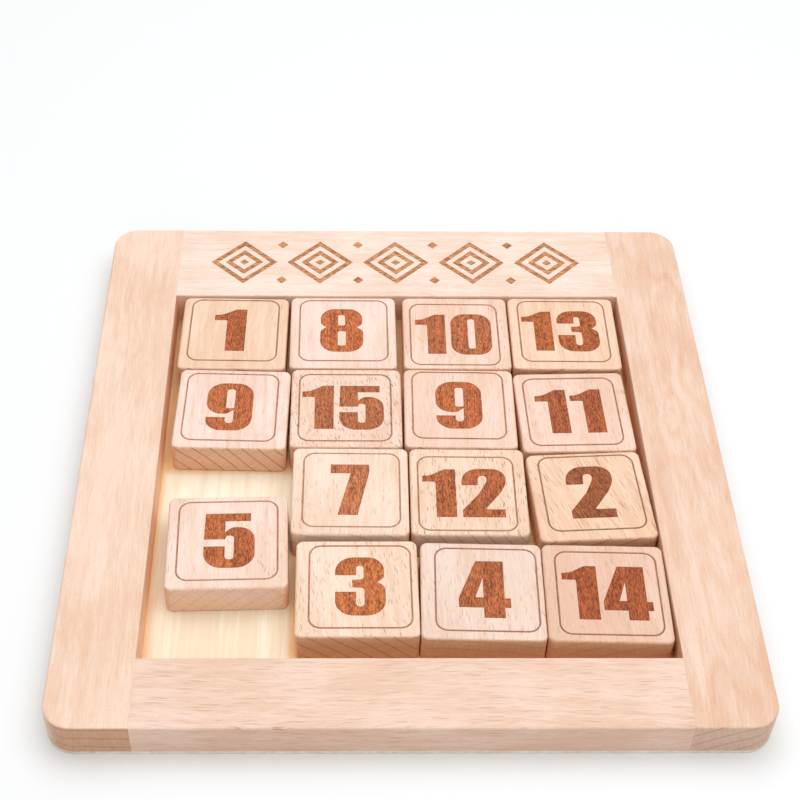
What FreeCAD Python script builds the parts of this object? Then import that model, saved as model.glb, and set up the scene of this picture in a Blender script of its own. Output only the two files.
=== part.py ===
import FreeCAD, Part
import math
import os

from FreeCAD import Vector

# A fifteen-tile number puzzle: a shallow beech tray with fifteen loose square tiles.
# Millimetres, +Z up. X runs along the rails, Y from the front rail to the back rail.
# The origin is on the underside of the tray, at the middle of its outline.

# ---- tray ------------------------------------------------------------------------------
tray_width = 167.0
tray_depth = 174.0
stile_width = 20.0
back_rail_width = 29.5
front_rail_width = 19.0
frame_thickness = 9.4
base_thickness = 1.1
tray_corner_radius = 7.0
outer_arris = 0.6
stile_inner_arris = 0.8
rail_inner_arris = 0.3

# ---- tiles -----------------------------------------------------------------------------
tile_width = 29.8
tile_depth = 29.2
tile_thickness = 9.0
tile_corner_radius = 1.8
tile_top_arris = 0.8
tile_bottom_arris = 0.4

# ---- engraving -------------------------------------------------------------------------
numeral_depth = 0.25
border_depth = 0.20
border_side = 24.7
border_line = 0.50
border_corner_radius = 2.9
numeral_height = 17.1
two_digit_scale = 0.945

# ---- lozenge band on the back rail -----------------------------------------------------
lozenge_count = 5
lozenge_pitch = 22.3
lozenge_width = 19.4
lozenge_height = 19.0
lozenge_line = 1.5
lozenge_gap = 2.0
link_diamond = 3.2
band_depth = 0.25

# ---- derived levels and edges ----------------------------------------------------------
floor_z = base_thickness
frame_top = base_thickness + frame_thickness
half_width = tray_width / 2
half_depth = tray_depth / 2
inner_x = half_width - stile_width
inner_back = half_depth - back_rail_width
inner_front = -half_depth + front_rail_width

# Tiles cut a little wider than the rest.
wide_tiles = {5: 30.0, 9: 30.1, 11: 30.0, 13: 30.1}

# Where each tile lies: centre x, centre y, turn in degrees, how far its burnt border sits off
# the tile's own centre in x and y, and how far the number sits off the border's centre in x.
# Tile 5 is half way along the left column. Tile 6 has been put back upside down.
tile_layout = {
    1: (-46.2, 42.4, -1.0, -0.1, 1.0, -1.2),
    8: (-15.5, 42.7, -0.1, 0.1, 0.7, -0.5),
    10: (16.3, 42.6, -0.4, -0.5, -0.7, -0.25),
    13: (46.75, 42.6, -0.3, -0.05, 0.7, -0.8),
    9: (-45.25, 12.8, -1.6, -0.45, 0.5, -0.3),
    15: (-14.7, 13.2, -0.2, -0.3, 0.0, -0.6),
    6: (15.8, 13.1, 179.2, 0.3, -1.0, -0.1),
    11: (46.4, 11.9, 1.5, -0.4, 0.0, -0.6),
    7: (-13.7, -16.2, -0.5, 0.3, 0.2, -0.4),
    12: (16.5, -16.4, -0.5, -0.5, -0.8, -0.5),
    2: (47.7, -17.8, 3.0, 0.3, 0.9, 0.0),
    5: (-44.2, -33.0, 1.5, 0.1, 0.4, 0.4),
    3: (-12.2, -47.3, 0.1, 0.8, 0.4, 0.0),
    4: (18.1, -48.1, -1.4, 1.0, 0.3, -0.6),
    14: (48.1, -48.7, -1.4, 0.4, -0.2, -0.3),
}

# Heavy condensed numerals, drawn on a height of 100 from the baseline. A loop is a list of
# corners (x, y, corner radius); the first loop is the outline and the others are holes.
nine = [
    [(0.5, 27, 0), (0.5, -1.5, 25), (73, -1.5, 27), (73, 101.5, 27), (0, 101.5, 27),
     (0, 34, 24), (33, 34, 9), (43.5, 43, 0), (43.5, 14.5, 6), (31, 14.5, 6), (31, 27, 0)],
    [(31, 46.5, 3.5), (44, 46.5, 3.5), (44, 87.5, 4), (31, 87.5, 4)],
]
digit_loops = {
    "0": [
        [(0, -1.5, 25), (71, -1.5, 25), (71, 101.5, 25), (0, 101.5, 25)],
        [(30, 14, 4), (42, 14, 4), (42, 88, 4), (30, 88, 4)],
    ],
    "1": [
        [(21, 0, 0), (53, 0, 0), (53, 100, 0), (35, 100, 3), (13, 87, 25), (0, 86, 0),
         (0, 73, 0), (21, 73, 2)],
    ],
    "2": [
        [(0, 0, 0), (67, 0, 0), (67, 17, 0), (36, 17, 1.5), (61, 50, 40), (71, 70, 30),
         (71, 101.5, 22), (0, 101.5, 28), (0, 66, 0), (26, 66, 0), (27.5, 86, 6), (41, 86, 6),
         (40, 74, 20), (27, 49, 30), (0, 15, 0)],
    ],
    "3": [
        [(0, 69, 0), (0, 101.5, 26), (70, 101.5, 23), (70, 64, 13), (60, 57, 0.8),
         (71.5, 50, 13), (71.5, -1.5, 26), (0, -1.5, 26), (0, 40, 0), (30, 40, 0),
         (30, 14.5, 5.3), (41.5, 14.5, 5.3), (41.5, 47, 5), (24.5, 47.5, 0), (24, 61, 0),
         (40.5, 62, 5), (40.5, 86, 5), (30, 86, 5), (30, 69, 0)],
    ],
    "4": [
        [(0.5, 17.5, 0), (35.5, 17.5, 0), (35.5, 0, 0), (65.5, 0, 0), (65.5, 17.5, 0),
         (74, 17.5, 0), (74, 34.5, 0), (65.5, 34.5, 0), (65.5, 100, 0), (26, 100, 0),
         (0.5, 34.5, 0)],
        [(24.5, 35.5, 0), (35.5, 35.5, 0), (35.5, 70, 0)],
    ],
    "5": [
        [(0, 51, 0), (31, 51, 1), (33, 57.5, 3.5), (43.5, 57.5, 5), (43.5, 14.5, 5.5),
         (31, 14.5, 5.5), (31, 38.5, 0), (0, 38.5, 0), (0, -1.5, 27), (74, -1.5, 27),
         (74, 74, 24), (40, 74, 14), (31, 65, 0), (31, 84.5, 0), (68, 84.5, 0), (68, 100, 0),
         (1.5, 100, 0)],
    ],
    "6": [[(73 - x, 100 - y, r) for x, y, r in loop] for loop in nine],
    "7": [
        [(0, 81.5, 0), (0, 100, 0), (58.5, 100, 0), (58.5, 84, 25), (41, 0, 0), (11, 0, 0),
         (30, 81.5, 0)],
    ],
    "8": [
        [(0, -1.5, 25), (71, -1.5, 25), (71, 50, 13), (60.5, 57, 0.8), (69.5, 64, 12),
         (69.5, 101.5, 23), (0.5, 101.5, 23), (0.5, 64, 12), (10, 57, 0.8), (0, 50, 13)],
        [(29.5, 61.5, 3), (40.5, 61.5, 3), (40.5, 86, 3), (29.5, 86, 3)],
        [(29, 13.5, 3.5), (42, 13.5, 3.5), (42, 47, 3.5), (29, 47, 3.5)],
    ],
    "9": nine,
}
letter_gap = 9.0
narrow_letter_gap = 6.0


def rounded_wire(corners, z):
    """A closed wire through corners (x, y, radius), each corner rounded by a tangent arc."""
    ends = []
    count = len(corners)
    for i, (x, y, radius) in enumerate(corners):
        here = Vector(x, y, z)
        before = Vector(corners[i - 1][0], corners[i - 1][1], z)
        after = Vector(corners[(i + 1) % count][0], corners[(i + 1) % count][1], z)
        if radius == 0:
            ends.append((here, None, here))
            continue
        to_before = (before - here).normalize()
        to_after = (after - here).normalize()
        half_angle = to_before.getAngle(to_after) / 2
        setback = radius / math.tan(half_angle)
        bisector = (to_before + to_after).normalize()
        middle = here + bisector * (radius / math.sin(half_angle) - radius)
        ends.append((here + to_before * setback, middle, here + to_after * setback))
    edges = []
    for i, (start, middle, end) in enumerate(ends):
        if middle is not None:
            edges.append(Part.Arc(start, middle, end).toShape())
        edges.append(Part.LineSegment(end, ends[(i + 1) % count][0]).toShape())
    return Part.Wire(edges)


def prism(corners, z, height):
    """A solid of the given height over the rounded outline at level z."""
    return Part.Face(rounded_wire(corners, z)).extrude(Vector(0, 0, height))


def rectangle(x0, y0, x1, y1, radius=0.0):
    return [(x0, y0, radius), (x1, y0, radius), (x1, y1, radius), (x0, y1, radius)]


def block(x0, y0, z0, x1, y1, z1):
    return Part.makeBox(x1 - x0, y1 - y0, z1 - z0, Vector(x0, y0, z0))


def edges_at_level(shape, z):
    """The edges that lie wholly at level z."""
    found = []
    for edge in shape.Edges:
        box = edge.BoundBox
        if abs(box.ZMin - z) < 1e-6 and abs(box.ZMax - z) < 1e-6:
            found.append(edge)
    return found


# ---- tray pieces -----------------------------------------------------------------------
def tray_slab():
    """The whole tray's outside: rounded corners and a rounded top arris."""
    outline = rectangle(-half_width, -half_depth, half_width, half_depth, tray_corner_radius)
    slab = prism(outline, floor_z, frame_thickness)
    return slab.makeFillet(outer_arris, edges_at_level(slab, frame_top))


def inner_roundover(side):
    """The waste outside a quarter round along a stile's inner top arris."""
    radius = stile_inner_arris
    edge_x = side * inner_x
    far_x = edge_x + side * radius
    length = inner_back - inner_front
    waste = block(min(edge_x, far_x), inner_front, frame_top - radius,
                  max(edge_x, far_x), inner_back, frame_top)
    round_part = Part.makeCylinder(radius, length, Vector(far_x, inner_front, frame_top - radius),
                                   Vector(0, 1, 0))
    return waste.cut(round_part)


def stile(side):
    """A side piece: it runs the whole depth of the tray, so its end grain shows in front."""
    outer_x = side * half_width
    edge_x = side * inner_x
    bar = block(min(outer_x, edge_x), -half_depth, floor_z,
                max(outer_x, edge_x), half_depth, frame_top)
    return bar.common(tray_slab()).cut(inner_roundover(side))


def rail(y0, y1, inner_y):
    """A cross piece between the stiles, with its inner top arris just broken."""
    bar = block(-inner_x, y0, floor_z, inner_x, y1, frame_top)
    shaped = bar.common(tray_slab())
    inner_edges = [edge for edge in edges_at_level(shaped, frame_top)
                   if abs(edge.BoundBox.YMin - inner_y) < 1e-6
                   and abs(edge.BoundBox.YMax - inner_y) < 1e-6]
    return shaped.makeFillet(rail_inner_arris, inner_edges)


def diamond(centre_x, centre_y, width, height):
    return [(centre_x - width / 2, centre_y, 0), (centre_x, centre_y - height / 2, 0),
            (centre_x + width / 2, centre_y, 0), (centre_x, centre_y + height / 2, 0)]


def lozenge_band():
    """Five nested lozenges with small linking diamonds, as one cutting tool."""
    centre_y = half_depth - back_rail_width / 2
    level = frame_top - band_depth
    height = 2 * band_depth
    step = 2 * math.sqrt(2) * lozenge_line
    pieces = []
    for i in range(lozenge_count):
        centre_x = (i - (lozenge_count - 1) / 2) * lozenge_pitch
        width = lozenge_width
        tall = lozenge_height
        while width > 2 * step:
            outer = prism(diamond(centre_x, centre_y, width, tall), level, height)
            inner = prism(diamond(centre_x, centre_y, width - step, tall - step), level, height)
            pieces.append(outer.cut(inner))
            width -= step + 2 * lozenge_gap
            tall -= step + 2 * lozenge_gap
        pieces.append(prism(diamond(centre_x, centre_y, width, tall), level, height))
    for i in range(lozenge_count - 1):
        centre_x = (i - (lozenge_count - 2) / 2) * lozenge_pitch
        for side in (-1, 1):
            link_y = centre_y + side * (lozenge_height - link_diamond) / 2
            corners = diamond(centre_x, link_y, link_diamond, link_diamond)
            pieces.append(prism(corners, level, height))
    return Part.makeCompound(pieces)


def back_rail():
    plain = rail(inner_back, half_depth, inner_back)
    return plain.cut(lozenge_band())


def front_rail():
    return rail(-half_depth, inner_front, inner_front)


def base_board():
    """The thin floor, glued under the frame and flush with it all round."""
    outline = rectangle(-half_width, -half_depth, half_width, half_depth, tray_corner_radius)
    return prism(outline, 0.0, base_thickness)


# ---- tiles -----------------------------------------------------------------------------
def glyph_width(character):
    return max(x for x, y, r in digit_loops[character][0])


def numeral_loops(number, shift):
    """The number's loops in millimetres, centred on the border square but for the shift."""
    text = str(number)
    scale = numeral_height / 100
    if len(text) == 2:
        scale *= two_digit_scale
    gap = narrow_letter_gap if text in ("11", "14") else letter_gap
    total = sum(glyph_width(c) for c in text) + gap * (len(text) - 1)
    placed = []
    left = -total / 2
    for character in text:
        for index, loop in enumerate(digit_loops[character]):
            corners = [((left + x) * scale + shift, (y - 50) * scale, r * scale)
                       for x, y, r in loop]
            placed.append((index > 0, corners))
        left += glyph_width(character) + gap
    return placed


def numeral_tool(number, shift, level, height):
    loops = numeral_loops(number, shift)
    outlines = [prism(corners, level, height) for is_hole, corners in loops if not is_hole]
    holes = [prism(corners, level, height) for is_hole, corners in loops if is_hole]
    tool = Part.makeCompound(outlines)
    for hole in holes:
        tool = tool.cut(hole)
    return tool


def border_tool(level, height):
    """The ring between two rounded squares, one line wide."""
    outer_half = (border_side + border_line) / 2
    inner_half = (border_side - border_line) / 2
    outer = rectangle(-outer_half, -outer_half, outer_half, outer_half,
                      border_corner_radius + border_line / 2)
    inner = rectangle(-inner_half, -inner_half, inner_half, inner_half,
                      border_corner_radius - border_line / 2)
    return prism(outer, level, height).cut(prism(inner, level, height))


def tile_blank(width):
    """A plain block with its centre over the origin and its foot at z = 0."""
    outline = rectangle(-width / 2, -tile_depth / 2, width / 2, tile_depth / 2,
                        tile_corner_radius)
    blank = prism(outline, 0.0, tile_thickness)
    blank = blank.makeFillet(tile_top_arris, edges_at_level(blank, tile_thickness))
    return blank.makeFillet(tile_bottom_arris, edges_at_level(blank, 0.0))


def tile(number):
    x, y, turn, border_x, border_y, numeral_x = tile_layout[number]
    offset = Vector(border_x, border_y, 0)
    numeral = numeral_tool(number, numeral_x, tile_thickness - numeral_depth, 1.0)
    numeral.translate(offset)
    border = border_tool(tile_thickness - border_depth, 1.0)
    border.translate(offset)
    blank = tile_blank(wide_tiles.get(number, tile_width))
    solid = blank.cut(numeral).cut(border)
    solid.rotate(Vector(0, 0, 0), Vector(0, 0, 1), turn)
    solid.translate(Vector(x, y, floor_z))
    return solid


def build():
    nodes = {
        "left_stile": stile(-1),
        "right_stile": stile(1),
        "back_rail": back_rail(),
        "front_rail": front_rail(),
        "base_board": base_board(),
    }
    for number in sorted(tile_layout):
        nodes["tile_%02d" % number] = tile(number)
    return nodes


os.makedirs("parts", exist_ok=True)
for name, shape in build().items():
    shape.exportStep("parts/%s.step" % name)
    print(name, "solids", len(shape.Solids), "valid", shape.isValid(), round(shape.Volume, 1))
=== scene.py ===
import math
import random

import bpy
from mathutils import Euler, Matrix, Vector
from mathutils.geometry import delaunay_2d_cdt


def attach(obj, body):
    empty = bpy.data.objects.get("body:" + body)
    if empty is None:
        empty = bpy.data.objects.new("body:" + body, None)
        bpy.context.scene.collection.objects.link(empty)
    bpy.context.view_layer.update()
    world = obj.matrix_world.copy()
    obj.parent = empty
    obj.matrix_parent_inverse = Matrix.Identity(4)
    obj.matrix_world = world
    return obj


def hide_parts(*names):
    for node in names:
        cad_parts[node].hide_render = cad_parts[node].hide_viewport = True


# A fifteen-tile number puzzle in a shallow beech tray. Lengths here are in millimetres in the
# CAD's frame, and turn into metres where a mesh is made.

MM = 0.001

# ---- sizes, as in the CAD ----------------------------------------------------------------
HALF_WIDTH = 83.5
HALF_DEPTH = 87.0
INNER_X = 63.5
INNER_BACK = 57.5
INNER_FRONT = -68.0
BASE_TOP = 1.1
FRAME_TOP = 10.5
TRAY_CORNER = 7.0
OUTER_ARRIS = 0.6
STILE_INNER_ARRIS = 0.8
RAIL_INNER_ARRIS = 0.3
JOINT_ARRIS = 0.04
TILE_WIDTH = 29.8
TILE_DEPTH = 29.2
WIDE_TILES = {5: 30.0, 9: 30.1, 11: 30.0, 13: 30.1}
TILE_THICKNESS = 9.0
TILE_CORNER = 1.8
TILE_ARRIS = 0.8
TILE_BOTTOM_ARRIS = 0.4
NUMERAL_HEIGHT = 17.1
TWO_DIGIT_SCALE = 0.945
BORDER_SIDE = 24.7
BORDER_LINE = 0.50
BORDER_CORNER = 2.9
ENGRAVED = 0.25
BORDER_BURN = 0.8
WALL = 0.1
LOZENGE_COUNT = 5
LOZENGE_PITCH = 22.3
LOZENGE_WIDTH = 19.4
LOZENGE_HEIGHT = 19.0
LOZENGE_LINE = 1.5
LOZENGE_GAP = 2.0
LINK_DIAMOND = 3.2

# How far off a tile's pith lies, which sets how curved the rings on its end are.
PITH_DISTANCE = 110

# number: centre x, centre y, turn in degrees, border offset x and y, number offset x
LAYOUT = {
    1: (-46.2, 42.4, -1.0, -0.1, 1.0, -1.2),
    8: (-15.5, 42.7, -0.1, 0.1, 0.7, -0.5),
    10: (16.3, 42.6, -0.4, -0.5, -0.7, -0.25),
    13: (46.75, 42.6, -0.3, -0.05, 0.7, -0.8),
    9: (-45.25, 12.8, -1.6, -0.45, 0.5, -0.3),
    15: (-14.7, 13.2, -0.2, -0.3, 0.0, -0.6),
    6: (15.8, 13.1, 179.2, 0.3, -1.0, -0.1),
    11: (46.4, 11.9, 1.5, -0.4, 0.0, -0.6),
    7: (-13.7, -16.2, -0.5, 0.3, 0.2, -0.4),
    12: (16.5, -16.4, -0.5, -0.5, -0.8, -0.5),
    2: (47.7, -17.8, 3.0, 0.3, 0.9, 0.0),
    5: (-44.2, -33.0, 1.5, 0.1, 0.4, 0.4),
    3: (-12.2, -47.3, 0.1, 0.8, 0.4, 0.0),
    4: (18.1, -48.1, -1.4, 1.0, 0.3, -0.6),
    14: (48.1, -48.7, -1.4, 0.4, -0.2, -0.3),
}

# Each tile's wood: the tones of its face, of its front end and of its burnt number; the turn of
# the grain and the direction of the pith on the front end, in degrees; and the strength of its
# rings, the strength, share and closeness of its dark pore dashes. A tone is what a level face
# of that wood would show. The front-end tones also hold painted light, set tile by tile: those
# that pass 255 brighten front ends that stand in shade.
WOOD = {
    1: ((247, 215, 190), (240, 200, 172), (183, 98, 52), 3, 80, 0.5, 0.30, 0.25, 0.16),
    8: ((249, 222, 208), (240, 200, 172), (203, 110, 60), 0, 95, 0.2, 0.25, 0.35, 0.20),
    10: ((246, 214, 195), (240, 200, 172), (191, 107, 64), 4, 70, 0.3, 0.60, 0.40, 0.20),
    13: ((247, 213, 188), (240, 200, 172), (184, 98, 50), -3, 110, 0.5, 0.40, 0.30, 0.20),
    9: ((250, 223, 210), (258, 217, 190), (197, 108, 60), -2, 220, 0.5, 0.40, 0.35, 0.24),
    15: ((247, 215, 196), (240, 200, 172), (187, 108, 64), -8, 60, 0.3, 1.00, 0.95, 0.29),
    6: ((249, 217, 200), (240, 200, 172), (196, 107, 60), 2, 100, 0.4, 0.45, 0.40, 0.20),
    11: ((247, 212, 194), (240, 200, 172), (179, 94, 53), -2, 75, 0.3, 0.55, 0.45, 0.20),
    7: ((249, 223, 203), (263, 249, 232), (198, 118, 74), 0, 250, 0.25, 0.45, 0.45, 0.20),
    12: ((247, 216, 192), (253, 230, 218), (186, 101, 56), 0, 215, 0.3, 0.95, 0.75, 0.20),
    2: ((246, 211, 183), (240, 200, 172), (157, 87, 47), -17, 300, 0.4, 0.85, 0.55, 0.12),
    5: ((248, 220, 204), (266, 243, 228), (192, 104, 57), 0, 315, 0.15, 0.55, 0.35, 0.18),
    3: ((250, 222, 201), (241, 207, 176), (199, 112, 58), -8, 227, 0.4, 0.85, 0.50, 0.21),
    4: ((241, 214, 198), (242, 206, 175), (186, 102, 56), -3, 265, 0.2, 0.60, 0.45, 0.20),
    14: ((238, 201, 180), (248, 211, 177), (171, 86, 44), -6, 290, 0.2, 0.40, 0.40, 0.20),
}

NINE = [
    [(0.5, 27, 0), (0.5, -1.5, 25), (73, -1.5, 27), (73, 101.5, 27), (0, 101.5, 27),
     (0, 34, 24), (33, 34, 9), (43.5, 43, 0), (43.5, 14.5, 6), (31, 14.5, 6), (31, 27, 0)],
    [(31, 46.5, 3.5), (44, 46.5, 3.5), (44, 87.5, 4), (31, 87.5, 4)],
]
DIGITS = {
    "0": [
        [(0, -1.5, 25), (71, -1.5, 25), (71, 101.5, 25), (0, 101.5, 25)],
        [(30, 14, 4), (42, 14, 4), (42, 88, 4), (30, 88, 4)],
    ],
    "1": [
        [(21, 0, 0), (53, 0, 0), (53, 100, 0), (35, 100, 3), (13, 87, 25), (0, 86, 0),
         (0, 73, 0), (21, 73, 2)],
    ],
    "2": [
        [(0, 0, 0), (67, 0, 0), (67, 17, 0), (36, 17, 1.5), (61, 50, 40), (71, 70, 30),
         (71, 101.5, 22), (0, 101.5, 28), (0, 66, 0), (26, 66, 0), (27.5, 86, 6), (41, 86, 6),
         (40, 74, 20), (27, 49, 30), (0, 15, 0)],
    ],
    "3": [
        [(0, 69, 0), (0, 101.5, 26), (70, 101.5, 23), (70, 64, 13), (60, 57, 0.8),
         (71.5, 50, 13), (71.5, -1.5, 26), (0, -1.5, 26), (0, 40, 0), (30, 40, 0),
         (30, 14.5, 5.3), (41.5, 14.5, 5.3), (41.5, 47, 5), (24.5, 47.5, 0), (24, 61, 0),
         (40.5, 62, 5), (40.5, 86, 5), (30, 86, 5), (30, 69, 0)],
    ],
    "4": [
        [(0.5, 17.5, 0), (35.5, 17.5, 0), (35.5, 0, 0), (65.5, 0, 0), (65.5, 17.5, 0),
         (74, 17.5, 0), (74, 34.5, 0), (65.5, 34.5, 0), (65.5, 100, 0), (26, 100, 0),
         (0.5, 34.5, 0)],
        [(24.5, 35.5, 0), (35.5, 35.5, 0), (35.5, 70, 0)],
    ],
    "5": [
        [(0, 51, 0), (31, 51, 1), (33, 57.5, 3.5), (43.5, 57.5, 5), (43.5, 14.5, 5.5),
         (31, 14.5, 5.5), (31, 38.5, 0), (0, 38.5, 0), (0, -1.5, 27), (74, -1.5, 27),
         (74, 74, 24), (40, 74, 14), (31, 65, 0), (31, 84.5, 0), (68, 84.5, 0), (68, 100, 0),
         (1.5, 100, 0)],
    ],
    "6": [[(73 - x, 100 - y, r) for x, y, r in loop] for loop in NINE],
    "7": [
        [(0, 81.5, 0), (0, 100, 0), (58.5, 100, 0), (58.5, 84, 25), (41, 0, 0), (11, 0, 0),
         (30, 81.5, 0)],
    ],
    "8": [
        [(0, -1.5, 25), (71, -1.5, 25), (71, 50, 13), (60.5, 57, 0.8), (69.5, 64, 12),
         (69.5, 101.5, 23), (0.5, 101.5, 23), (0.5, 64, 12), (10, 57, 0.8), (0, 50, 13)],
        [(29.5, 61.5, 3), (40.5, 61.5, 3), (40.5, 86, 3), (29.5, 86, 3)],
        [(29, 13.5, 3.5), (42, 13.5, 3.5), (42, 47, 3.5), (29, 47, 3.5)],
    ],
    "9": NINE,
}


# ---- outlines ----------------------------------------------------------------------------
def rounded(corners, degrees_per_step=9.0):
    """Points along a closed loop whose corners (x, y, radius) are rounded by tangent arcs.
    Each point comes with the index of the edge before it and of the edge after it."""
    points = []
    count = len(corners)
    for i, (x, y, radius) in enumerate(corners):
        here = Vector((x, y))
        to_before = (Vector(corners[i - 1][:2]) - here).normalized()
        to_after = (Vector(corners[(i + 1) % count][:2]) - here).normalized()
        edges = ((i - 1) % count, i)
        if radius == 0:
            points.append((here, edges))
            continue
        half = to_before.angle(to_after) / 2
        middle = here + (to_before + to_after).normalized() * (radius / math.sin(half))
        spoke = here + to_before * (radius / math.tan(half)) - middle
        turn = math.pi - 2 * half
        if to_before.cross(to_after) > 0:
            turn = -turn
        steps = max(2, math.ceil(abs(math.degrees(turn)) / degrees_per_step))
        for k in range(steps + 1):
            arm = spoke.copy()
            arm.rotate(Matrix.Rotation(turn * k / steps, 2))
            points.append((middle + arm, edges))
    return points


def divided(points, longest):
    """The same loop with its long straight runs cut into shorter ones."""
    result = []
    for i, (here, edges) in enumerate(points):
        result.append((here, edges))
        after = points[(i + 1) % len(points)][0]
        pieces = math.ceil((after - here).length / longest)
        for k in range(1, pieces):
            result.append((here.lerp(after, k / pieces), (edges[1], edges[1])))
    return result


def moved_in(loop, insets):
    """The loop with each point moved inwards, by its own pair of insets for its two edges."""
    result = []
    count = len(loop)
    for i, here in enumerate(loop):
        before = (here - loop[i - 1]).normalized()
        after = (loop[(i + 1) % count] - here).normalized()
        normal_before = Vector((-before.y, before.x))
        normal_after = Vector((-after.y, after.x))
        inset_before, inset_after = insets[i]
        cross = normal_before.cross(normal_after)
        if abs(cross) < 0.3:
            normal = (normal_before + normal_after).normalized()
            result.append(here + normal * ((inset_before + inset_after) / 2))
            continue
        shift_x = (inset_before * normal_after.y - inset_after * normal_before.y) / cross
        shift_y = (inset_after * normal_before.x - inset_before * normal_after.x) / cross
        shift = Vector((shift_x, shift_y))
        longest = 3 * max(abs(inset_before), abs(inset_after))
        if shift.length > longest:
            shift = shift.normalized() * longest
        result.append(here + shift)
    return result


def rectangle(x0, y0, x1, y1, radius=0.0):
    return [(x0, y0, radius), (x1, y0, radius), (x1, y1, radius), (x0, y1, radius)]


def flat_loop(corners, step=12.0):
    return [point for point, edges in rounded(corners, step)]


# ---- a board with rounded arrises and burnt engraving --------------------------------------
def in_opening(point):
    """1 for a point on or inside the tray's opening, where a side can only be seen in a gap."""
    inside_x = abs(point.x) < INNER_X + 0.1
    return 1.0 if inside_x and INNER_FRONT - 0.1 < point.y < INNER_BACK + 0.1 else 0.0


class Board:
    """Gathers a piece's vertices, faces and the values that its material reads: burn, how burnt
    the engraving is; edge, 1 on a rounded arris; sunk, rising to 1 at the foot of a side that
    stands inside the tray's opening, where the material paints warm bounce light and shade."""

    def __init__(self):
        self.points = []
        self.burn = []
        self.edge = []
        self.sunk = []
        self.faces = []
        self.flat = []

    def add(self, x, y, z, burn=0.0, edge=0.0, sunk=0.0):
        self.points.append((x, y, z))
        self.burn.append(burn)
        self.edge.append(edge)
        self.sunk.append(sunk)
        return len(self.points) - 1

    def ring(self, loop, z, edge=0.0, sunk=0.0):
        return [self.add(point.x, point.y, z, 0.0, edge, sunk * in_opening(point))
                for point in loop]

    def join(self, lower, upper):
        count = len(lower)
        for i in range(count):
            j = (i + 1) % count
            self.faces.append((lower[i], lower[j], upper[j], upper[i]))
            self.flat.append(False)

    def cap(self, rim, z, engraving, depth):
        """Closes the top inside the rim, with the engraved loops sunk to the given depth.
        Each engraved loop is (points, whether the burnt side is inside it, how burnt)."""
        flat = [Vector(self.points[i][:2]) for i in rim]
        known = list(rim)
        sides = [(i, (i + 1) % len(rim)) for i in range(len(rim))]
        for loop, inside, burnt in engraving:
            inset = WALL if inside else -WALL
            sunk = moved_in(loop, [(inset, inset)] * len(loop))
            for ring, down in ((loop, 0.0), (sunk, 1.0)):
                start = len(flat)
                for k, point in enumerate(ring):
                    flat.append(point)
                    known.append(self.add(point.x, point.y, z - depth * down, burnt * down))
                    sides.append((start + k, start + (k + 1) % len(ring)))
        made, _, triangles, origin, _, _ = delaunay_2d_cdt(flat, sides, [], 0, 1e-6, True)
        index = []
        for place, came_from in zip(made, origin):
            if came_from:
                index.append(known[came_from[0]])
                continue
            index.append(self.add(place.x, place.y, z))
        for a, b, c in triangles:
            if (made[b] - made[a]).cross(made[c] - made[a]) < 0:
                b, c = c, b
            self.faces.append((index[a], index[b], index[c]))
            self.flat.append(True)

    def base(self, rim):
        self.faces.append(tuple(reversed(rim)))
        self.flat.append(True)


def arris_depth(radius, drop):
    """How far a quarter-round arris stands back at a given drop below the top."""
    if drop >= radius:
        return 0.0
    return radius - math.sqrt(radius ** 2 - (radius - drop) ** 2)


def board(corners, top_radii, low_radius, z_low, z_high, engraving=(), depth=0.0,
          longest=3.0, wear=0.1, seed=0):
    """A board over a rounded outline. Each edge of the outline has its own top arris."""
    rng = random.Random(seed)
    waves = [(rng.uniform(0.15, 0.9), rng.uniform(0, 6.3)) for _ in range(4)]
    loop = divided(rounded(corners), longest)
    places = [point for point, edges in loop]
    radii = []
    for point, edges in loop:
        wave = sum(math.sin(f * (point.x + 1.7 * point.y) + p) for f, p in waves) / 4
        radii.append([top_radii[e] * (1 + wear * wave) for e in edges])
    largest = max(max(pair) for pair in radii)
    drops = [largest * (1 - math.cos(math.radians(15 * k))) for k in range(7)]
    shape = Board()
    low_rows = [low_radius * (1 - math.cos(math.radians(22.5 * k))) for k in range(5)]
    rows = []
    for k, drop in enumerate(low_rows):
        inset = arris_depth(low_radius, drop)
        ring = moved_in(places, [(inset, inset)] * len(places))
        edge = 0.5 * math.sin(math.radians(45 * k))
        rows.append(shape.ring(ring, z_low + drop, edge, 1 - drop / (z_high - z_low)))
    for k, drop in reversed(list(enumerate(drops))):
        insets = [(arris_depth(a, drop), arris_depth(b, drop)) for a, b in radii]
        ring = moved_in(places, insets)
        edge = math.sin(math.radians(30 * k))
        rows.append(shape.ring(ring, z_high - drop, edge, drop / (z_high - z_low)))
    for lower, upper in zip(rows, rows[1:]):
        shape.join(lower, upper)
    shape.cap(rows[-1], z_high, engraving, depth)
    shape.base(rows[0])
    return shape


def make_piece(name, shape, material, grain, place=(0, 0), turn=0.0):
    """Turns a board into an object. grain is the matrix from the piece to the wood's own
    axes, with the fibres along Y, and its result is kept on the mesh for the material."""
    mesh = bpy.data.meshes.new(name)
    mesh.from_pydata([Vector(p) * MM for p in shape.points], [], shape.faces)
    mesh.materials.append(material)
    mesh.shade_smooth()
    mesh.set_sharp_from_angle(angle=math.radians(40))
    for polygon, flat in zip(mesh.polygons, shape.flat):
        polygon.use_smooth = not flat
    for label, values in (("burn", shape.burn), ("edge", shape.edge), ("sunk", shape.sunk)):
        mesh.attributes.new(label, "FLOAT", "POINT").data.foreach_set("value", values)
    wood = [c for p in shape.points for c in grain @ Vector(p)]
    mesh.attributes.new("grain", "FLOAT_VECTOR", "POINT").data.foreach_set("vector", wood)
    piece = bpy.data.objects.new(name, mesh)
    bpy.context.scene.collection.objects.link(piece)
    piece.location = (place[0] * MM, place[1] * MM, 0)
    piece.rotation_euler = (0, 0, math.radians(turn))
    return piece


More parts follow.
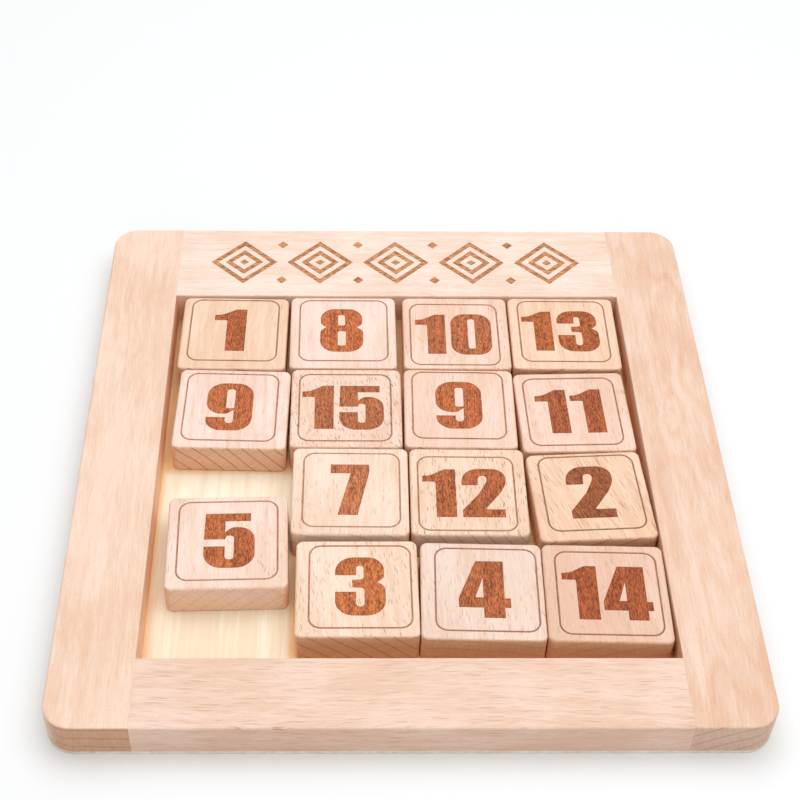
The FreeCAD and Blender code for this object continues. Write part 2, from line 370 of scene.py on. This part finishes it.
def grain_axes(turn, seed, pith, pith_distance, along_x=False):
    """From a piece's millimetres to the wood's: fibres along Y, the pith on the Y axis."""
    rng = random.Random(seed)
    lean = Euler((math.radians(rng.uniform(-2, 2)), 0, math.radians(turn)))
    if along_x:
        lean = Euler((0, math.radians(rng.uniform(-1, 1)), math.radians(90 + turn)))
    angle = math.radians(pith)
    offset = Vector((-math.cos(angle) * pith_distance, rng.uniform(-900, 900),
                     -math.sin(angle) * pith_distance))
    return Matrix.Translation(offset) @ lean.to_matrix().to_4x4()


# ---- materials -----------------------------------------------------------------------------
# how bright a white level surface shows in the light here
EXPOSURE = 1.22


def linear(red, green, blue):
    """A colour as it should look in the light here, turned into the surface's own."""
    result = []
    for value in (red, green, blue):
        v = value / 255
        v = v / 12.92 if v <= 0.04045 else ((v + 0.055) / 1.055) ** 2.4
        result.append(v / EXPOSURE)
    return (*result, 1.0)


class Tree:
    """Adds shader nodes. A value given to a socket is a number, a colour or another output."""

    def __init__(self, tree):
        self.tree = tree

    def add(self, kind, values=None, **settings):
        node = self.tree.nodes.new("ShaderNode" + kind)
        for key, value in settings.items():
            setattr(node, key, value)
        for socket, value in (values or {}).items():
            if isinstance(value, bpy.types.NodeSocket):
                self.tree.links.new(value, node.inputs[socket])
            else:
                node.inputs[socket].default_value = value
        return node

    def math(self, operation, *values):
        return self.add("Math", dict(enumerate(values)), operation=operation).outputs[0]

    def vector(self, operation, first, second=None):
        values = {0: first}
        if second is not None:
            values[1] = second
        node = self.add("VectorMath", values, operation=operation)
        scalar = operation in ("LENGTH", "DOT_PRODUCT")
        return node.outputs["Value" if scalar else "Vector"]

    def noise(self, place, scale, detail=2.0, rough=0.5):
        stretched = self.vector("MULTIPLY", place, scale)
        node = self.add("TexNoise", {"Vector": stretched, "Scale": 1.0, "Detail": detail,
                                     "Roughness": rough})
        return node.outputs["Fac"]

    def ramp(self, value, low, high, start=0.0, end=1.0):
        node = self.add("MapRange", {"Value": value, "From Min": low, "From Max": high,
                                     "To Min": start, "To Max": end},
                        interpolation_type="SMOOTHSTEP")
        return node.outputs["Result"]

    def mix(self, factor, first, second, blend="MIX"):
        node = self.add("Mix", data_type="RGBA", blend_type=blend)
        for socket, value in ((node.inputs["Factor"], factor), (node.inputs[6], first),
                              (node.inputs[7], second)):
            if isinstance(value, bpy.types.NodeSocket):
                self.tree.links.new(value, socket)
            else:
                socket.default_value = value
        return node.outputs[2]

    def dashes(self, place, across, along, size, share):
        """Short dashes along the grain, one in some of the cells of a stretched pattern."""
        x, y, z = self.add("SeparateXYZ", {0: place}).outputs
        sideways = self.math("MULTIPLY", self.math("ADD", x, self.math("MULTIPLY", z, 0.9)),
                             across)
        spot = self.add("CombineXYZ", {0: sideways, 1: self.math("MULTIPLY", y, along)})
        cells = self.add("TexVoronoi", {"Vector": spot.outputs[0], "Scale": 1.0},
                         voronoi_dimensions="2D")
        chances = self.add("SeparateColor", {0: cells.outputs["Color"]}).outputs
        present = self.math("LESS_THAN", chances[0], share)
        radius = self.math("MULTIPLY", self.math("ADD", chances[1], 0.6), size)
        core = self.ramp(self.math("DIVIDE", cells.outputs["Distance"], radius), 0.4, 1.0,
                         1.0, 0.0)
        weight = self.math("ADD", self.math("MULTIPLY", chances[2], 0.6), 0.4)
        return self.math("MULTIPLY", self.math("MULTIPLY", core, present), weight)

    def tint(self, factor, colour, tone):
        """The colour multiplied by a tone, as far as the factor says."""
        return self.mix(factor, colour, self.mix(1.0, colour, (*tone, 1), "MULTIPLY"))


def beech_group():
    """The wood itself: fibres, rings, pores and end grain, with the burnt engraving."""
    group = bpy.data.node_groups.new("beech", "ShaderNodeTree")
    face = group.interface
    for name, kind in (("Tone", "Color"), ("Ends", "Color"), ("Burnt", "Color"),
                       ("Grain", "Vector"), ("Rings", "Float"), ("Pores", "Float"),
                       ("Share", "Float"), ("Closeness", "Float"), ("Specks", "Float"),
                       ("Figure", "Float")):
        face.new_socket(name, in_out="INPUT", socket_type="NodeSocket" + kind)
    for name, kind in (("Color", "Color"), ("Roughness", "Float"), ("Normal", "Vector")):
        face.new_socket(name, in_out="OUTPUT", socket_type="NodeSocket" + kind)
    t = Tree(group)
    given = group.nodes.new("NodeGroupInput").outputs
    result = group.nodes.new("NodeGroupOutput").inputs

    place = t.add("Attribute", attribute_name="grain").outputs["Vector"]
    burn = t.add("Attribute", attribute_name="burn").outputs["Fac"]
    edge = t.add("Attribute", attribute_name="edge").outputs["Fac"]
    sunk = t.add("Attribute", attribute_name="sunk").outputs["Fac"]

    # the fibres wander a little, and the rings with them; the pores are more unruly
    wander = t.add("TexNoise", {"Vector": t.vector("MULTIPLY", place, (0.05, 0.012, 0.05)),
                                "Scale": 1.0, "Detail": 2.0}).outputs["Color"]
    wander = t.vector("MULTIPLY", t.vector("SUBTRACT", wander, (0.5, 0.5, 0.5)), (7, 0, 7))
    wavy = t.vector("ADD", place, wander)
    twist = t.add("TexNoise", {"Vector": t.vector("MULTIPLY", place, (0.3, 0.35, 0.3)),
                               "Scale": 1.0, "Detail": 1.0}).outputs["Color"]
    twist = t.vector("MULTIPLY", t.vector("SUBTRACT", twist, (0.5, 0.5, 0.5)), (4.0, 0, 4.0))
    twist = t.vector("MULTIPLY", twist, given["Closeness"])
    unruly = t.vector("ADD", wavy, twist)
    steady = t.vector("ADD", place, t.vector("MULTIPLY", wander, (0.35, 0, 0.35)))
    reach = t.vector("LENGTH", t.vector("MULTIPLY", steady, (1, 0, 1)))
    phase = t.math("FRACT", t.math("MULTIPLY", reach, 0.42))
    ring = t.math("MULTIPLY", t.ramp(phase, 0.45, 0.95), t.ramp(phase, 0.95, 1.0, 1.0, 0.0))

    fibre = t.noise(wavy, (2.8, 0.16, 2.8), 3.0, 0.65)
    streak = t.noise(wavy, (0.6, 0.03, 0.6), 2.0)
    cloud = t.noise(place, (0.07, 0.04, 0.07), 1.0)
    specks = t.dashes(unruly, 1.7, 0.8, 0.24, 0.45)
    crowding = t.ramp(t.noise(place, (0.13, 0.07, 0.13), 1.0), 0.35, 0.6, 0.45, 1.4)
    flecks = t.dashes(unruly, 1.9, given["Closeness"], 0.20,
                      t.math("MULTIPLY", given["Share"], crowding))

    # long grain
    shade = t.math("ADD", t.ramp(fibre, 0.25, 0.75, -0.95, 0.95),
                   t.ramp(streak, 0.25, 0.75, -0.6, 0.6))
    shade = t.math("ADD", shade, t.ramp(cloud, 0.3, 0.7, -0.6, 0.6))
    darker = t.mix(1.0, given["Tone"], (0.935, 0.865, 0.80, 1), "MULTIPLY")
    lighter = t.mix(1.0, given["Tone"], (1.03, 1.05, 1.065, 1), "MULTIPLY")
    wood = t.mix(t.ramp(shade, -1.2, 1.2), darker, lighter)
    wood = t.tint(t.math("MULTIPLY", ring, given["Rings"]), wood, (0.93, 0.85, 0.77))
    swirl = t.math("FRACT", t.math("MULTIPLY", t.noise(place, (0.10, 0.03, 0.10), 1.0), 5.0))
    swirl = t.ramp(t.math("ABSOLUTE", t.math("SUBTRACT", swirl, 0.5)), 0.1, 0.5)
    wood = t.tint(t.math("MULTIPLY", swirl, given["Figure"]), wood, (0.95, 0.86, 0.77))
    wood = t.tint(t.math("MULTIPLY", specks, given["Specks"]), wood, (0.70, 0.50, 0.38))
    wood = t.tint(t.math("MULTIPLY", flecks, given["Pores"]), wood, (0.42, 0.30, 0.23))

    # end grain: thin ring lines, rays towards the pith and open pores
    facing = t.add("NewGeometry").outputs["Normal"]
    end = t.math("ABSOLUTE", t.vector("DOT_PRODUCT", facing, given["Grain"]))
    end = t.ramp(end, 0.55, 0.9)
    parts = t.add("SeparateXYZ", {0: steady}).outputs
    around = t.math("ARCTAN2", parts[2], parts[0])
    spokes = t.add("CombineXYZ", {0: t.math("MULTIPLY", around, 130.0),
                                  1: t.math("MULTIPLY", reach, 0.2)}).outputs[0]
    ray = t.ramp(t.add("TexNoise", {"Vector": spokes, "Scale": 1.0, "Detail": 2.0}
                       ).outputs["Fac"], 0.35, 0.7)
    speck = t.ramp(t.noise(place, (3.6, 0.3, 3.6), 2.0), 0.3, 0.75)
    mottled = t.math("ADD", t.math("MULTIPLY", ray, 0.3), t.math("MULTIPLY", speck, 0.7))
    end_wood = t.tint(t.math("SUBTRACT", 1.0, mottled), given["Ends"], (0.82, 0.73, 0.66))
    end_phase = t.math("FRACT", t.math("MULTIPLY", reach, 0.31))
    end_ring = t.math("MULTIPLY", t.ramp(end_phase, 0.78, 0.93),
                      t.ramp(end_phase, 0.94, 1.0, 1.0, 0.0))
    end_ring = t.math("MULTIPLY", end_ring, t.math("MULTIPLY", given["Rings"], 2.0))
    end_wood = t.tint(end_ring, end_wood, (0.65, 0.53, 0.44))
    wood = t.mix(end, wood, end_wood)

    # painted bounce light and shade: the sides in the gaps are painted warmer and redder towards
    # the foot, as light thrown between the woods would colour them
    painted_bounce_light = t.math("MULTIPLY", t.math("POWER", sunk, 0.5),
                    t.math("SUBTRACT", 1.0, t.math("MULTIPLY", end, 0.9)))
    wood = t.tint(painted_bounce_light, wood, (1.22, 0.96, 0.72))

    # a sanded arris is a little paler, partly from real fraying wear and partly as a painted
    # highlight along the rounded edge, with small torn ticks across the fibres
    fray_and_highlight = t.ramp(t.noise(place, (2.4, 0.8, 2.4), 3.0), 0.3, 0.7)
    wood = t.tint(t.math("MULTIPLY", edge, fray_and_highlight), wood, (1.07, 1.10, 1.13))
    tick = t.ramp(t.noise(place, (4.0, 0.9, 2.0), 2.0), 0.52, 0.72)
    torn = t.math("MULTIPLY", edge, t.ramp(end, 0.05, 0.5))
    wood = t.tint(t.math("MULTIPLY", torn, tick), wood, (0.72, 0.60, 0.52))

    # burnt engraving: mottled along the fibres, darkest in the pores, the border line browner
    ragged = t.math("ADD", burn, t.math("MULTIPLY", t.math("SUBTRACT", fibre, 0.5), 0.9))
    charred = t.ramp(ragged, 0.38, 0.62)
    grit = t.ramp(t.noise(unruly, (4.0, 0.7, 4.0), 3.0, 0.7), 0.34, 0.66, -1.0, 1.0)
    long_grit = t.ramp(t.noise(wavy, (0.8, 0.06, 0.8), 3.0, 0.6), 0.3, 0.7, -0.4, 0.4)
    scorch = t.ramp(t.math("ADD", grit, long_grit), -1.3, 1.3)
    deep = t.mix(1.0, given["Burnt"], (0.41, 0.35, 0.31, 1), "MULTIPLY")
    light = t.mix(1.0, given["Burnt"], (1.38, 1.50, 1.66, 1), "MULTIPLY")
    burnt = t.mix(scorch, deep, light)
    burnt = t.tint(t.math("MULTIPLY", t.math("MAXIMUM", flecks, specks), 0.7), burnt,
                   (0.55, 0.45, 0.40))
    line = t.math("LESS_THAN", burn, BORDER_BURN + 0.05)
    burnt = t.tint(line, burnt, (0.80, 0.84, 0.90))
    wood = t.mix(t.math("MULTIPLY", charred, burn), wood, burnt)
    group.links.new(wood, result["Color"])

    rough = t.math("ADD", 0.52, t.math("MULTIPLY", fibre, 0.12))
    rough = t.math("ADD", rough, t.math("MULTIPLY", charred, 0.15))
    group.links.new(rough, result["Roughness"])
    height = t.math("SUBTRACT", t.math("MULTIPLY", fibre, 0.5),
                    t.math("MULTIPLY", t.math("MAXIMUM", flecks, specks), 0.6))
    bump = t.add("Bump", {"Height": height, "Strength": 0.35, "Distance": 0.00006})
    group.links.new(bump.outputs[0], result["Normal"])
    return group


def beech(name, group, tone, ends=(248, 190, 154), burnt=(209, 141, 92), grain=(0, 1, 0),
          rings=0.3, pores=0.4, share=0.4, closeness=0.2, specks=0.15, figure=0.0):
    material = bpy.data.materials.new(name)
    material.use_nodes = True
    nodes = material.node_tree.nodes
    links = material.node_tree.links
    shader = nodes["Principled BSDF"]
    shader.inputs["Specular IOR Level"].default_value = 0.3
    wood = nodes.new("ShaderNodeGroup")
    wood.node_tree = group
    values = {"Tone": linear(*tone), "Ends": linear(*ends), "Burnt": linear(*burnt),
              "Grain": grain, "Rings": rings, "Pores": pores, "Share": share,
              "Closeness": closeness, "Specks": specks, "Figure": figure}
    for socket, value in values.items():
        wood.inputs[socket].default_value = value
    links.new(wood.outputs["Color"], shader.inputs["Base Color"])
    links.new(wood.outputs["Roughness"], shader.inputs["Roughness"])
    links.new(wood.outputs["Normal"], shader.inputs["Normal"])
    return material


# ---- tiles ---------------------------------------------------------------------------------
def numeral(number, shift_x, shift_y):
    """The number's loops in millimetres, each with whether its burnt side is inside."""
    text = str(number)
    scale = NUMERAL_HEIGHT / 100 * (TWO_DIGIT_SCALE if len(text) == 2 else 1.0)
    gap = 6.0 if text in ("11", "14") else 9.0
    widths = [max(x for x, y, r in DIGITS[c][0]) for c in text]
    left = -(sum(widths) + gap * (len(text) - 1)) / 2
    loops = []
    for character, width in zip(text, widths):
        for index, corners in enumerate(DIGITS[character]):
            placed = [((left + x) * scale + shift_x, (y - 50) * scale + shift_y, r * scale)
                      for x, y, r in corners]
            points = counter_clockwise(flat_loop(placed))
            loops.append((points, index == 0, 1.0))
        left += width + gap
    return loops


def counter_clockwise(points):
    area = sum(points[i - 1].cross(points[i]) for i in range(len(points)))
    return points if area > 0 else points[::-1]


def border(shift_x, shift_y):
    loops = []
    for side, inside in ((BORDER_SIDE + BORDER_LINE, True), (BORDER_SIDE - BORDER_LINE, False)):
        half = side / 2
        radius = BORDER_CORNER + (side - BORDER_SIDE) / 2
        corners = rectangle(shift_x - half, shift_y - half, shift_x + half, shift_y + half,
                            radius)
        loops.append((flat_loop(corners), inside, BORDER_BURN))
    return loops


def make_tile(number, group):
    x, y, turn, border_x, border_y, number_x = LAYOUT[number]
    tone, ends, burnt, grain_turn, pith, rings, pores, share, closeness = WOOD[number]
    engraving = border(border_x, border_y) + numeral(number, border_x + number_x, border_y)
    half_x = WIDE_TILES.get(number, TILE_WIDTH) / 2
    corners = rectangle(-half_x, -TILE_DEPTH / 2, half_x, TILE_DEPTH / 2, TILE_CORNER)
    shape = board(corners, [TILE_ARRIS] * 4, TILE_BOTTOM_ARRIS, BASE_TOP,
                  BASE_TOP + TILE_THICKNESS, engraving, ENGRAVED, 1.5, 0.12, number)
    material = beech("beech_tile_%02d" % number, group, tone, ends, burnt, rings=rings,
                     pores=pores, share=share, closeness=closeness)
    name = "tile_%02d_wood" % number
    grain = grain_axes(grain_turn, number, pith, PITH_DISTANCE)
    piece = make_piece(name, shape, material, grain, (x, y), turn)
    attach(piece, "tile_%02d" % number)
    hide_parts("tile_%02d" % number)


# ---- tray ----------------------------------------------------------------------------------
def stile(side, group):
    """A side bar. Its arris is rounded outside and along the opening, and sharp at the rails."""
    short = JOINT_ARRIS
    corners = [(-HALF_WIDTH, -HALF_DEPTH, TRAY_CORNER), (-INNER_X, -HALF_DEPTH, 0),
               (-INNER_X, INNER_FRONT, 0), (-INNER_X, INNER_FRONT + 0.3, 0),
               (-INNER_X, INNER_BACK - 0.3, 0), (-INNER_X, INNER_BACK, 0),
               (-INNER_X, HALF_DEPTH, 0), (-HALF_WIDTH, HALF_DEPTH, TRAY_CORNER)]
    outer = OUTER_ARRIS
    arrises = [outer, short, short, STILE_INNER_ARRIS, short, short, outer, outer]
    if side > 0:
        corners = [(-x, y, r) for x, y, r in reversed(corners)]
    shape = board(corners, arrises, JOINT_ARRIS, BASE_TOP, FRAME_TOP, longest=4.0, wear=0.1,
                  seed=30 + side)
    name = "left" if side < 0 else "right"
    if side < 0:
        material = beech("beech_left_stile", group, (247, 217, 197), (228, 185, 155), rings=0.3,
                         pores=0.1, share=0.1, specks=0.2, figure=0.25)
    else:
        material = beech("beech_right_stile", group, (242, 210, 190), (236, 206, 187), rings=0.3,
                         pores=0.1, share=0.1, specks=0.25, figure=0.7)
    pith, distance = (237, 136) if side < 0 else (324, 144)
    piece = make_piece(name + "_stile_wood", shape, material,
                       grain_axes(0.6 * side, 40 + side, pith, distance))
    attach(piece, "tray")
    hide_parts(name + "_stile")


def diamond(x, y, width, height):
    points = [(x - width / 2, y), (x, y - height / 2), (x + width / 2, y), (x, y + height / 2)]
    return [Vector(p) for p in points]


def lozenge_band():
    """Nested lozenges with small diamonds between them, as on the CAD's back rail."""
    middle = HALF_DEPTH - (HALF_DEPTH - INNER_BACK) / 2
    step = 2 * math.sqrt(2) * LOZENGE_LINE
    loops = []
    for i in range(LOZENGE_COUNT):
        x = (i - (LOZENGE_COUNT - 1) / 2) * LOZENGE_PITCH
        width, height = LOZENGE_WIDTH, LOZENGE_HEIGHT
        while width > 2 * step:
            loops.append((diamond(x, middle, width, height), True, 1.0))
            loops.append((diamond(x, middle, width - step, height - step), False, 1.0))
            width -= step + 2 * LOZENGE_GAP
            height -= step + 2 * LOZENGE_GAP
        loops.append((diamond(x, middle, width, height), True, 1.0))
    for i in range(LOZENGE_COUNT - 1):
        x = (i - (LOZENGE_COUNT - 2) / 2) * LOZENGE_PITCH
        for side in (-1, 1):
            y = middle + side * (LOZENGE_HEIGHT - LINK_DIAMOND) / 2
            link = diamond(x, y, LINK_DIAMOND, LINK_DIAMOND)
            loops.append((link, True, 1.0))
    return loops


def rail(back, group):
    if back:
        corners = rectangle(-INNER_X, INNER_BACK, INNER_X, HALF_DEPTH)
        arrises = [RAIL_INNER_ARRIS, JOINT_ARRIS, OUTER_ARRIS, JOINT_ARRIS]
        engraving, depth = lozenge_band(), ENGRAVED
        name, tone, pores = "back_rail", (250, 226, 211), 0.3
    else:
        corners = rectangle(-INNER_X, -HALF_DEPTH, INNER_X, INNER_FRONT)
        arrises = [OUTER_ARRIS, JOINT_ARRIS, RAIL_INNER_ARRIS, JOINT_ARRIS]
        engraving, depth = [], 0.0
        name, tone, pores = "front_rail", (243, 211, 192), 0.45
    shape = board(corners, arrises, JOINT_ARRIS, BASE_TOP, FRAME_TOP, engraving, depth, 4.0,
                  0.1, 50)
    material = beech("beech_" + name, group, tone, grain=(1, 0, 0), rings=0.15, pores=pores,
                     share=0.8, closeness=0.09)
    piece = make_piece(name + "_wood", shape, material,
                       grain_axes(0.5, 60 + back, 265, 75, True))
    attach(piece, "tray")
    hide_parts(name)


def base_board(group):
    corners = rectangle(-HALF_WIDTH, -HALF_DEPTH, HALF_WIDTH, HALF_DEPTH, TRAY_CORNER)
    shape = board(corners, [0.12] * 4, 0.12, 0.0, BASE_TOP, longest=6.0, wear=0.0, seed=70)
    material = beech("pale_base_board", group, (250, 232, 203), (266, 261, 252), rings=0.1,
                     pores=0.0, share=0.0, specks=0.05)
    # painted shade: the floor keeps its own pale tone in the free part of the left column and at
    # its outer edges, and elsewhere, where tiles and walls shade it in the gaps, it is painted a
    # deeper golden; its figure is broad and soft, so its grain is taken at a fifth of the size
    t = Tree(material.node_tree)
    x, y, _ = t.add("SeparateXYZ", {0: t.add("Attribute", attribute_name="grain")
                                    .outputs["Vector"]}).outputs
    across = t.math("MULTIPLY", t.ramp(x, -12.75, -12.35), t.ramp(x, -5.95, -5.5, 1.0, 0.0))
    along = t.math("MULTIPLY", t.ramp(y, -13.6, -13.3), t.ramp(y, -0.8, -0.2, 1.0, 0.0))
    outside = t.ramp(t.math("ABSOLUTE", x), 12.8, 13.2)
    pale = t.math("MAXIMUM", t.math("MULTIPLY", across, along), outside)
    # the golden tone is painted shade and warm bounce light; the other is the board's own tone
    tone = t.mix(pale, linear(253, 212, 154), linear(255, 243, 218))
    wood = [node for node in material.node_tree.nodes if node.type == "GROUP"][0]
    material.node_tree.links.new(tone, wood.inputs["Tone"])
    fifth = Matrix.Translation((0, 0, 160)) @ Matrix.Diagonal((0.2, 0.2, 0.2, 1.0))
    piece = make_piece("base_board_wood", shape, material, fifth)
    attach(piece, "tray")
    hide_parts("base_board")


# ---- camera, floor and light -----------------------------------------------------------------
def studio():
    mesh = bpy.data.meshes.new("floor")
    mesh.from_pydata([(-3, -3, 0), (3, -3, 0), (3, 3, 0), (-3, 3, 0)], [], [(0, 1, 2, 3)])
    floor = bpy.data.objects.new("floor", mesh)
    bpy.context.scene.collection.objects.link(floor)
    material = bpy.data.materials.new("white_floor")
    material.use_nodes = True
    shader = material.node_tree.nodes["Principled BSDF"]
    shader.inputs["Base Color"].default_value = (0.76, 0.77, 0.775, 1)
    shader.inputs["Roughness"].default_value = 0.7
    shader.inputs["Specular IOR Level"].default_value = 0.2
    mesh.materials.append(material)

    world = bpy.data.worlds.new("soft_white")
    world.use_nodes = True
    background = world.node_tree.nodes["Background"]
    background.inputs["Color"].default_value = (1.0, 0.91, 0.82, 1)
    background.inputs["Strength"].default_value = 0.47
    bpy.context.scene.world = world

    lamp = bpy.data.lights.new("softbox", "AREA")
    lamp.shape = "RECTANGLE"
    lamp.size = 1.3
    lamp.size_y = 1.0
    lamp.energy = 10.5
    lamp.color = (0.90, 0.95, 1.0)
    light = bpy.data.objects.new("softbox", lamp)
    light.location = (0.08, 0.10, 0.85)
    aim = Vector((0, 0.03, 0)) - light.location
    light.rotation_euler = aim.to_track_quat("-Z", "Y").to_euler()
    bpy.context.scene.collection.objects.link(light)

    fill = bpy.data.lights.new("front_fill", "AREA")
    fill.shape = "RECTANGLE"
    fill.size = 1.2
    fill.size_y = 0.5
    fill.energy = 1.85
    fill.color = (1.0, 0.96, 0.92)
    front = bpy.data.objects.new("front_fill", fill)
    front.location = (0.0, -1.1, 0.45)
    aim = Vector((0, 0, 0)) - front.location
    front.rotation_euler = aim.to_track_quat("-Z", "Y").to_euler()
    bpy.context.scene.collection.objects.link(front)


def camera():
    lens = bpy.data.cameras.new("camera")
    lens.sensor_fit = "HORIZONTAL"
    lens.angle = math.radians(29.01)
    lens.shift_x = 0.0453
    lens.clip_start = 0.01
    view = bpy.data.objects.new("camera", lens)
    tilt, roll, yaw = math.radians(44.316), math.radians(-1.0), math.radians(0.16)
    turn = (Matrix.Rotation(yaw, 4, "Z") @ Matrix.Rotation(tilt, 4, "X")
            @ Matrix.Rotation(roll, 4, "Y"))
    view.matrix_world = Matrix.Translation((-0.01642, -0.27555, 0.30853)) @ turn
    bpy.context.scene.collection.objects.link(view)
    bpy.context.scene.camera = view


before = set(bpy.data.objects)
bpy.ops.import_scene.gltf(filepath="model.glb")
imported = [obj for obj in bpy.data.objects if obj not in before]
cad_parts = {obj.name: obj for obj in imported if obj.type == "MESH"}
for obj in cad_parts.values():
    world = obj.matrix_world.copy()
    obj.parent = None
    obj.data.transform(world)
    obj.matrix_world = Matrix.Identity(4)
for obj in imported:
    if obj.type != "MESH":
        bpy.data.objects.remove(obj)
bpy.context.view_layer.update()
bpy.context.scene.view_settings.view_transform = "Standard"
camera()
studio()
wood_group = beech_group()
for tile_number in LAYOUT:
    make_tile(tile_number, wood_group)
stile(-1, wood_group)
stile(1, wood_group)
rail(True, wood_group)
rail(False, wood_group)
base_board(wood_group)

bpy.context.view_layer.update()
